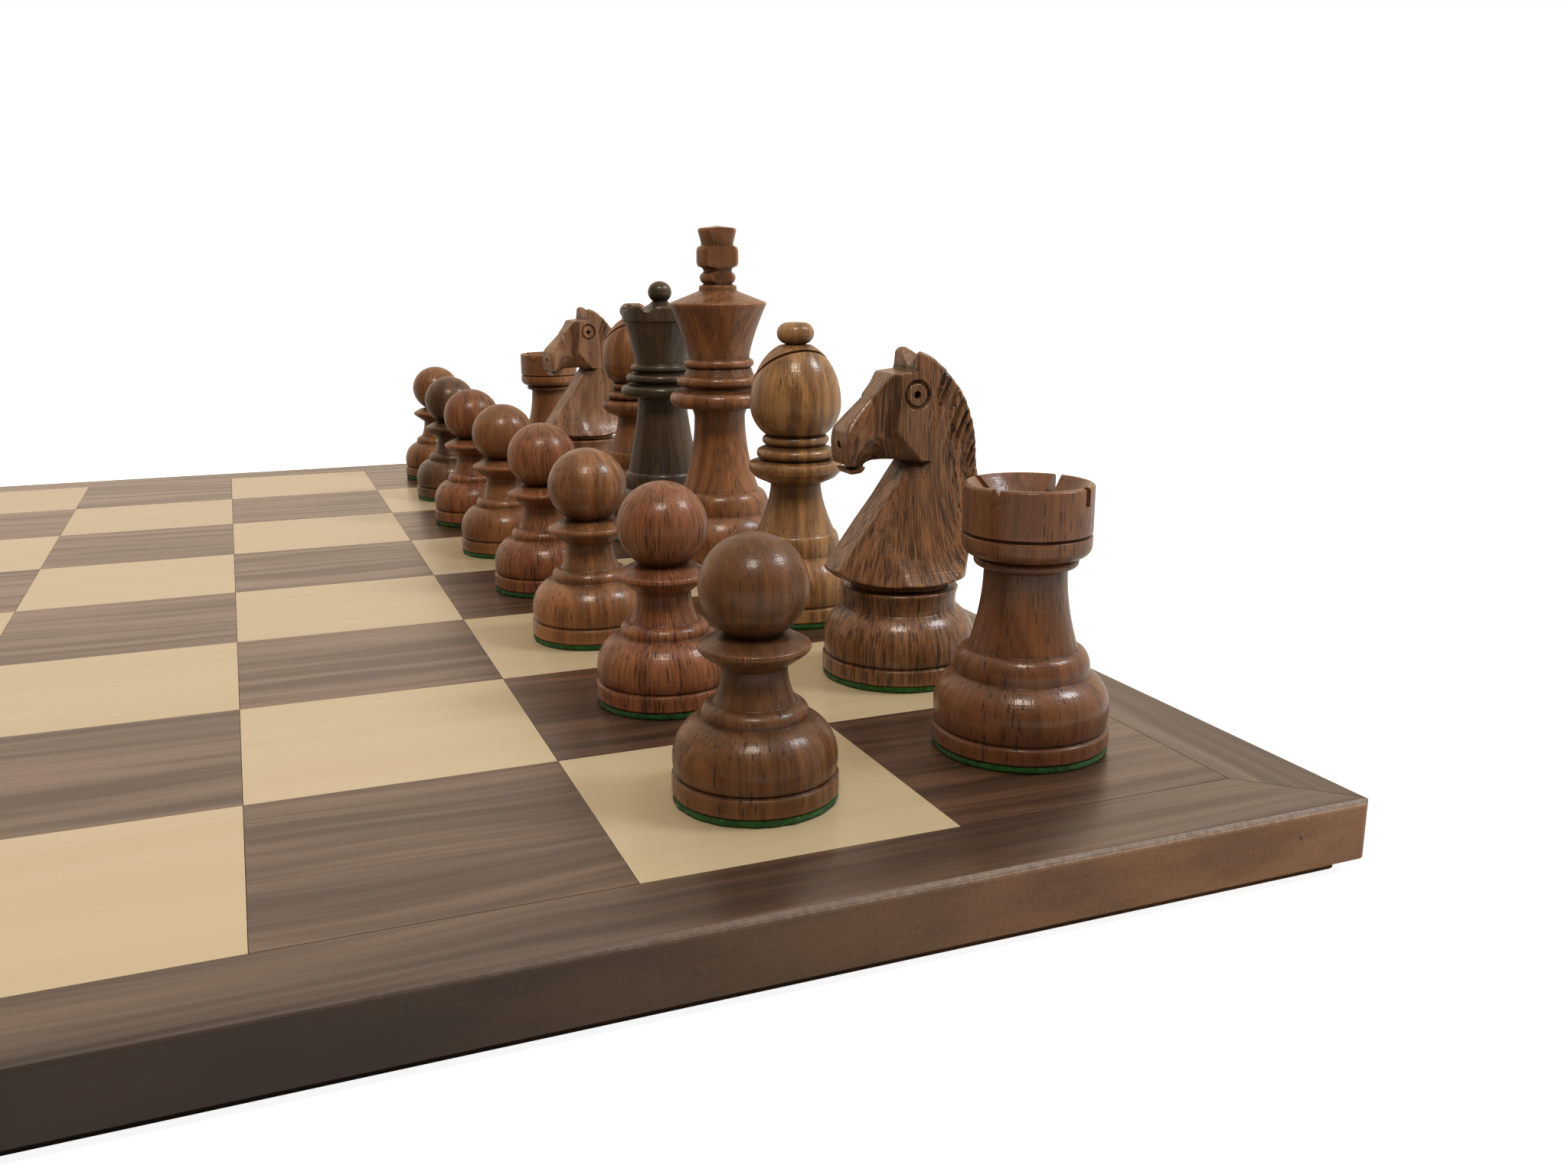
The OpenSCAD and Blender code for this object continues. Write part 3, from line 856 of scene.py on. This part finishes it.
def piece_wood(name, dark, light, seed, pores, figure, gloss, pore_colour=srgb(40, 24, 15)):
    """Lacquered turned wood with its grain along the piece's axis."""
    material, tree, shader = new_material(name)
    rng = np.random.default_rng(seed)
    mm = millimetres(tree, tuple(rng.uniform(-400, 400, 3)))
    # Broad bands that run up the piece, gently warped
    long_way = vector(tree, "MULTIPLY", mm, (1, 1, 0.06))
    warp = put(tree, "TexNoise", {"Vector": long_way, "Scale": 0.06, "Detail": 2.0}).outputs["Color"]
    warp = scaled(tree, vector(tree, "SUBTRACT", warp, (0.5, 0.5, 0.5)), 20)
    band = grain(tree, vector(tree, "ADD", long_way, warp), (1, 0.14, 1), 0.4, 3.0, 0.6)
    broad = grain(tree, mm, (1, 1, 0.3), 0.05)
    # Fine fibres and darker streaks, which follow the surface where it slopes
    flat = vector(tree, "MULTIPLY", millimetres(tree), (1, 1, 0))
    outward = put(tree, "VectorMath", {0: flat}, operation="NORMALIZE").outputs[0]
    around = scaled(tree, outward, 9)
    along = vector(tree, "ADD", around, vector(tree, "MULTIPLY", mm, (0.16, 0.16, 0.05)))
    fibre = noise(tree, along, 3.0, 2.0, 0.6)
    streak = noise(tree, along, 0.9, 3.0, 0.6)
    # Open pores: long slits along the grain, gathered in groups
    fine = 1.1 + 1.3 * pores
    length = 0.24 - 0.13 * pores
    slits = vector(tree, "ADD", vector(tree, "MULTIPLY", around, (fine, fine, 1)),
                   vector(tree, "MULTIPLY", mm, (0.5, 0.5, length)))
    group = remap(tree, grain(tree, mm, (1, 1, 0.1), 0.3), 0.38, 0.66)
    size = times_plus(tree, group, 0.1 + 0.1 * pores, 0.13 + 0.1 * pores)
    slit = spots(tree, slits, size, 0.1)
    contrast = 0.06 + 0.38 * pores ** 2
    streaky = min(1, 2 * figure) * (0.2 + contrast)
    dark_patch = calc(tree, "MULTIPLY", remap(tree, broad, 0.35, 0.65), figure)
    colour = mix(tree, remap(tree, band, 0.34, 0.68), dark, light)
    colour = mix(tree, dark_patch, colour, tint(dark, 0.8))
    colour = mix(tree, remap(tree, streak, 0.42, 0.7, 0.0, streaky), colour, tint(dark, 0.55))
    colour = mix(tree, remap(tree, fibre, 0.4, 0.66, 0.0, contrast), colour, tint(light, 1.4))
    colour = mix(tree, remap(tree, fibre, 0.48, 0.3, 0.0, contrast), colour, tint(dark, 0.6))
    colour = mix(tree, calc(tree, "MULTIPLY", slit, 0.8), colour, pore_colour)
    # Darker end grain; creases darkened as painted shade, with some stain gathered in them; and edges
    # rubbed a little lighter
    up = split(tree, coordinates(tree, "Normal"))[2]
    end = remap(tree, calc(tree, "ABSOLUTE", up), 0.45, 1.0, 1.0, 0.78)
    crease = put(tree, "Attribute", {}, attribute_name="crease").outputs["Fac"]
    edge = put(tree, "Attribute", {}, attribute_name="edge").outputs["Fac"]
    colour = mix(tree, calc(tree, "MULTIPLY", edge, 0.3), colour, tint(light, 1.35))
    shade = calc(tree, "MULTIPLY", end, remap(tree, crease, 0.1, 0.95, 1.0, 0.42))
    # Relief: sunken pores, raised fibres, ripples left by the lathe and an uneven lacquer
    ripple = noise(tree, combine(tree, 0.0, 0.0, split(tree, mm)[2]), 2.6)
    uneven = grain(tree, mm, (1, 1, 0.35), 0.9, 3.0, 0.6)
    height = calc(tree, "MULTIPLY", slit, -0.8)
    for part, share in ((fibre, 0.22), (ripple, 0.3), (uneven, 0.5)):
        height = calc(tree, "ADD", height, calc(tree, "MULTIPLY", part, share))
    strength = 0.4 + 0.5 * pores
    fill(tree, shader, {
        "Base Color": shaded(tree, colour, shade),
        "Roughness": times_plus(tree, slit, 0.3, 0.42),
        "Specular IOR Level": 0.25,
        "Normal": relief(tree, height, strength, 0.0002),
        "Coat Normal": relief(tree, height, strength, 0.00016),
        "Coat Weight": remap(tree, crease, 0.35, 0.9, gloss, 0.0),
        "Coat Roughness": 0.16})
    return material


# Where the painted highlight on the arris and the painted light on the side begin, and where they are full,
# along X from the board's middle
arris_highlight_start = 20.0
side_light_start = 50.0
painted_light_end = 215.0


def arris_with_painted_highlight(tree, shader, colour, rough, highlight_colour, gloss):
    """The shader's colour, roughness and lacquer: the top arris rougher and bare of lacquer, with a pale
    painted highlight that grows towards one end.
    """
    mm = millimetres(tree)
    up = split(tree, coordinates(tree, "Normal"))[2]
    arris = calc(tree, "MULTIPLY", remap(tree, up, 0.08, 0.3), remap(tree, up, 0.98, 0.85))
    specks = remap(tree, noise(tree, mm, 0.9, 4.0, 0.7), 0.3, 0.7, 0.2, 0.5)
    # Painted highlight: the arris is painted paler, more so towards one end, broken up by specks
    wear_and_highlight = calc(tree, "MULTIPLY", specks, remap(tree, split(tree, mm)[0], arris_highlight_start, painted_light_end))
    fill(tree, shader, {
        "Base Color": mix(tree, calc(tree, "MULTIPLY", arris, wear_and_highlight), colour, highlight_colour),
        "Roughness": times_plus(tree, arris, 0.2, rough),
        "Coat Weight": calc(tree, "MULTIPLY", calc(tree, "SUBTRACT", 1.0, arris), gloss)})


def veneer(name, dark, light, contrast=0.4, pores=0.5, rough=0.36, by_side=False, variety=0.16,
           pore_colour=srgb(46, 32, 25)):
    """Lacquered veneer: grain along X, or along each side, with a different cut on each leaf."""
    material, tree, shader = new_material(name)
    mm = millimetres(tree)
    x, y, z = split(tree, mm)
    if by_side:
        across = calc(tree, "GREATER_THAN", calc(tree, "ABSOLUTE", x), calc(tree, "ABSOLUTE", y))
        turned = combine(tree, y, x, z)
        mm = put(tree, "Mix", {0: across, 4: mm, 5: turned}, data_type="VECTOR").outputs[1]
        own = put(tree, "TexWhiteNoise", {"W": calc(tree, "MULTIPLY", across, 3.0)},
                  noise_dimensions="1D")
    else:
        side = square / MM
        column, row = (calc(tree, "FLOOR", calc(tree, "DIVIDE", c, side)) for c in (x, y))
        own = put(tree, "TexWhiteNoise", {"Vector": combine(tree, column, row, 0.0)},
                  noise_dimensions="3D")
    mm = vector(tree, "ADD", mm, scaled(tree, own.outputs["Color"], 700))
    warp = calc(tree, "SUBTRACT", grain(tree, mm, (0.5, 1, 1), 0.02), 0.5)
    bent = vector(tree, "ADD", mm, combine(tree, 0.0, calc(tree, "MULTIPLY", warp, 14.0), 0.0))
    wide = grain(tree, bent, (0.04, 1, 1), 0.22, 3.0, 0.55)
    lines = grain(tree, bent, (0.02, 1, 1), 1.3, 3.0, 0.6)
    slit = spots(tree, vector(tree, "MULTIPLY", mm, (0.13, 2.1, 1)), 0.24, 0.14)
    colour = mix(tree, remap(tree, wide, 0.32, 0.68), dark, light)
    colour = mix(tree, remap(tree, lines, 0.4, 0.75, 0.0, contrast), colour, tint(dark, 0.68))
    colour = mix(tree, calc(tree, "MULTIPLY", slit, pores), colour, pore_colour)
    level = times_plus(tree, own.outputs["Value"], variety, 1 - variety / 2)
    colour = shaded(tree, colour, level)
    roughness = times_plus(tree, lines, 0.12, rough - 0.06)
    gloss = remap(tree, wide, 0.35, 0.65, 0.34 - 0.3 * pores, 0.34 + 0.3 * pores)
    if by_side:
        # The border's top arris, rougher and bare of lacquer, with a pale painted highlight towards one end
        arris_with_painted_highlight(tree, shader, colour, roughness, srgb(176, 156, 140), gloss)
    else:
        fill(tree, shader, {"Base Color": colour, "Roughness": roughness, "Coat Weight": gloss})
    sunken = calc(tree, "MULTIPLY", slit, -0.2 - 0.8 * pores)
    height = calc(tree, "ADD", sunken, calc(tree, "MULTIPLY", lines, 0.25))
    fill(tree, shader, {"Normal": relief(tree, height, 0.16, 0.0001), "Coat Roughness": 0.22})
    return material


def stained_edge(name, dark, light):
    """Stained lipping: plain brown with fine specks and a few dents."""
    material, tree, shader = new_material(name)
    mm = millimetres(tree)
    broad = grain(tree, mm, (1, 1, 3), 0.05, 3.0)
    specks = noise(tree, mm, 1.5, 4.0, 0.7)
    colour = mix(tree, remap(tree, broad, 0.35, 0.65), dark, light)
    colour = mix(tree, remap(tree, specks, 0.52, 0.68, 0.0, 0.35), colour, tint(light, 1.5))
    colour = mix(tree, remap(tree, specks, 0.46, 0.3, 0.0, 0.55), colour, tint(dark, 0.6))
    # Painted light: the side is painted darker towards one end of the board and brighter towards the other
    painted_side_light = remap(tree, split(tree, mm)[0], side_light_start, painted_light_end, 0.45, 3.5)
    colour = shaded(tree, colour, painted_side_light)
    dent = spots(tree, mm, 0.085, 0.045, 0.16)
    colour = mix(tree, calc(tree, "MULTIPLY", dent, 0.7), colour, tint(dark, 0.4))
    # The lipping's top arris, rougher, with a pale painted highlight towards one end
    arris_with_painted_highlight(tree, shader, colour, times_plus(tree, specks, 0.2, 0.42), srgb(190, 172, 156), 0.0)
    height = calc(tree, "SUBTRACT", specks, dent)
    fill(tree, shader, {"Normal": relief(tree, height, 0.3, 0.00016)})
    return material


def felt_material():
    material, tree, shader = new_material("green_felt")
    where = coordinates(tree, "Object")
    fuzz = noise(tree, where, 5200, 4.0, 0.7)
    clumps = noise(tree, where, 900, 3.0)
    colour = mix(tree, remap(tree, clumps, 0.3, 0.7), srgb(10, 42, 13), srgb(38, 94, 32))
    fill(tree, shader, {
        "Base Color": mix(tree, remap(tree, fuzz, 0.35, 0.75, 0, 0.5), colour, srgb(58, 120, 46)),
        "Roughness": 0.95,
        "Specular IOR Level": 0.2,
        "Sheen Weight": 0.15,
        "Sheen Roughness": 0.5,
        "Normal": relief(tree, fuzz, 0.8, 0.0003)})
    return material


def fibreboard_material():
    material, tree, shader = new_material("core_fibreboard")
    specks = noise(tree, coordinates(tree, "Object"), 2600, 3.0, 0.7)
    fill(tree, shader, {"Base Color": mix(tree, specks, srgb(58, 42, 30), srgb(112, 84, 58)),
                        "Roughness": 0.85})
    return material


# ---- Materials on the board ----

walnut = veneer("walnut_squares", srgb(46, 31, 22), srgb(88, 62, 44), contrast=0.6, pores=0.5)
walnut_border = veneer("walnut_border", srgb(38, 26, 19), srgb(80, 57, 40), contrast=0.6, pores=0.5,
                       by_side=True, variety=0.06)
maple = veneer("maple_squares", srgb(173, 155, 123), srgb(177, 159, 128), contrast=0.03, pores=0.02,
               variety=0.05, pore_colour=srgb(176, 148, 110))
edge_wood = stained_edge("stained_edge", srgb(56, 36, 19), srgb(70, 47, 27))
backing = veneer("backing_veneer", srgb(92, 70, 54), srgb(116, 92, 74), rough=0.6)
core = fibreboard_material()
BOARD_LOOKS = {"plinth_panel": edge_wood, "backing_veneer": backing, "core_panel": core,
               "edge_lipping": edge_wood, "border_veneer": walnut_border, "dark_squares": walnut,
               "light_squares": maple}
for node_name, material in BOARD_LOOKS.items():
    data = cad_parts[node_name].data
    data.materials.clear()
    data.materials.append(material)

# ---- The pieces ----

# Tone of a piece's wood: dark and light colour, how open its pores are and how glossy it is
MID = (srgb(82, 50, 26), srgb(124, 82, 47), 0.35, 0.25)
ROOK = (srgb(86, 50, 28), srgb(126, 79, 47), 0.45, 0.45)
RED = (srgb(104, 58, 34), srgb(146, 92, 58), 0.85, 0.3)
PALE = (srgb(112, 76, 51), srgb(158, 114, 82), 0.4, 0.35)
OLIVE = (srgb(106, 68, 39), srgb(162, 107, 65), 0.35, 0.4)
OCHRE = (srgb(110, 75, 42), srgb(172, 126, 78), 0.4, 0.45)
ORANGE = (srgb(108, 67, 39), srgb(154, 101, 61), 0.4, 0.35)
DEEP = (srgb(72, 48, 31), srgb(112, 78, 52), 0.5, 0.35)
BLACKISH = (srgb(48, 37, 26), srgb(80, 64, 45), 0.5, 0.4)
COARSE = (srgb(88, 56, 33), srgb(142, 97, 62), 1.0, 0.5)
DARK_TONES = {"a8": ORANGE, "b8": PALE, "c8": ORANGE, "d8": BLACKISH, "e8": ORANGE, "f8": OCHRE,
              "g8": COARSE, "h8": ROOK, "a7": ORANGE, "b7": DEEP, "c7": RED, "d7": ORANGE,
              "e7": RED, "f7": OLIVE, "g7": RED, "h7": MID}


def army_wood(army, place, seed):
    if army == "light":
        rng = np.random.default_rng(seed + 500)
        warm = rng.uniform(-6, 6)
        return piece_wood("light_wood_" + place, srgb(198 + warm, 156, 102 - warm),
                          srgb(222 + warm, 184, 128 - warm), seed, pores=0.1, figure=0.15,
                          gloss=0.4, pore_colour=srgb(150, 104, 58))
    dark, light, pores, gloss = DARK_TONES[place]
    return piece_wood("dark_wood_" + place, dark, light, seed, pores, figure=0.5, gloss=gloss)


meshes = {kind: piece_mesh(kind) for kind in PROFILES}
meshes["head"] = knight_head_mesh()
felt = felt_material()
felts = {kind: felt_mesh(kind, i) for i, kind in enumerate(PROFILES)}


def piece_place(name, army, kind):
    """Where a piece stands: at the middle of its CAD box, on the board's top."""
    low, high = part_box(name)
    middle = (low + high) / 2
    turn = OWN_TURN.get(name, USUAL_TURN.get(kind, 0)) + (180 if army == "light" else 0)
    return (Matrix.Translation((middle.x, middle.y, board_top))
            @ Matrix.Rotation(math.radians(turn), 4, "Z"))


def add_piece(name, mesh, place, body, material, replaced):
    obj = scene_object(name, mesh.copy(), place)
    obj.data.materials.clear()
    obj.data.materials.append(material)
    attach(obj, body)
    if replaced:
        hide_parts(replaced)


piece_names = sorted(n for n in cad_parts
                     if n.count("_") == 2 and n.split("_")[1] in PROFILES)
for seed, name in enumerate(piece_names):
    army, kind, place_name = name.split("_")
    place = piece_place(name, army, kind)
    wood = army_wood(army, place_name, seed)
    add_piece(name + "_turned", meshes[kind], place, name, wood, name)
    if kind == "knight":
        add_piece(name + "_carving", meshes["head"], place, name, wood, name + "_head")
    # The light army's felts are part of their pieces' solids, so theirs replace no node
    felt_node = name + "_felt"
    add_piece(name + "_pad", felts[kind], place, name, felt,
              felt_node if felt_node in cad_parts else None)

# ---- Floor, light and camera ----


def stage_floor():
    half = 6.0
    mesh = bpy.data.meshes.new("floor")
    mesh.from_pydata([(-half, -half, 0), (half, -half, 0), (half, half, 0), (-half, half, 0)], [],
                     [(0, 1, 2, 3)])
    floor = scene_object("floor", mesh)
    material, tree, shader = new_material("floor_paper")
    fill(tree, shader, {"Base Color": (0.62, 0.61, 0.59, 1), "Roughness": 0.95,
                        "Specular IOR Level": 0.1})
    # The camera sees white paper with a faint shadow at the board's foot
    glow = put(tree, "Emission", {"Color": (1, 1, 1, 1), "Strength": 0.9}).outputs[0]
    paper = put(tree, "BsdfDiffuse", {"Color": (0.5, 0.5, 0.5, 1)}).outputs[0]
    seen = put(tree, "AddShader", {0: glow, 1: paper}).outputs[0]
    straight = put(tree, "LightPath", {}).outputs["Is Camera Ray"]
    both = put(tree, "MixShader", {0: straight, 1: shader.outputs[0], 2: seen}).outputs[0]
    tree.links.new(both, tree.nodes["Material Output"].inputs[0])
    mesh.materials.append(material)


def softbox(name, azimuth, elevation, distance, size, power, colour):
    """A square light aimed at the board, from an azimuth and elevation in degrees."""
    a, e = math.radians(azimuth), math.radians(elevation)
    aim = Vector((0.12, -0.1, board_top))
    spot = aim + distance * Vector((math.cos(e) * math.sin(a), -math.cos(e) * math.cos(a), math.sin(e)))
    light = bpy.data.lights.new(name, "AREA")
    light.shape = "SQUARE"
    light.size = size
    light.energy = power
    light.color = colour
    obj = scene_object(name, light)
    obj.matrix_world = Matrix.Translation(spot) @ (aim - spot).to_track_quat("-Z", "Y").to_matrix().to_4x4()


def studio_light():
    """A room that is brightest above and beyond the board, and two ceiling lights."""
    world = bpy.data.worlds.new("studio")
    bpy.context.scene.world = world
    world.use_nodes = True
    tree = world.node_tree
    shade = tree.nodes["Background"]
    way = coordinates(tree, "Generated")

    def facing(side):
        return put(tree, "VectorMath", {0: way, 1: tuple(Vector(side).normalized())},
                   operation="DOT_PRODUCT").outputs["Value"]
    beyond = remap(tree, facing((0.30, 0.85, 0.32)), -0.5, 0.9, 0.10, 1.1)
    right = remap(tree, facing((0.88, -0.42, 0.2)), 0.6, 1.0, 0.0, 0.4)
    strength = calc(tree, "ADD", beyond, right)
    # The room that the lacquer mirrors is warmer than the light it gives
    rays = put(tree, "LightPath", {}).outputs
    straight = rays["Is Camera Ray"]
    strength = put(tree, "Mix", {0: straight, 2: strength, 3: 1.0}, data_type="FLOAT").outputs[0]
    warmth = mix(tree, rays["Is Glossy Ray"], (1.0, 0.94, 0.84, 1), (0.95, 0.74, 0.56, 1))
    fill(tree, shade, {"Color": mix(tree, straight, warmth, (1, 1, 1, 1)), "Strength": strength})
    softbox("warm_light", -21, 60, 1.3, 0.3, 8.5, (1.0, 0.9, 0.78))
    softbox("cool_light", 68, 47, 1.3, 0.3, 7.5, (0.9, 0.95, 1.0))


def camera():
    """The viewpoint: low, in front of file h, looking along the dark army's ranks."""
    lens = 30.85
    centre = Vector((0.0551, -0.3641, 0.0956))
    right = Vector((0.92682, -0.37549, -0.00339))
    forward = Vector((0.36395, 0.90047, -0.23809))
    up = right.cross(forward)
    data = bpy.data.cameras.new("camera")
    data.lens = lens
    data.sensor_width = 36
    data.clip_start = 0.01
    obj = scene_object("camera", data)
    axes = Matrix((right, up, -forward)).transposed().to_4x4()
    obj.matrix_world = Matrix.Translation(centre) @ axes
    bpy.context.scene.camera = obj


stage_floor()
studio_light()
camera()
bpy.context.scene.view_settings.view_transform = "Standard"
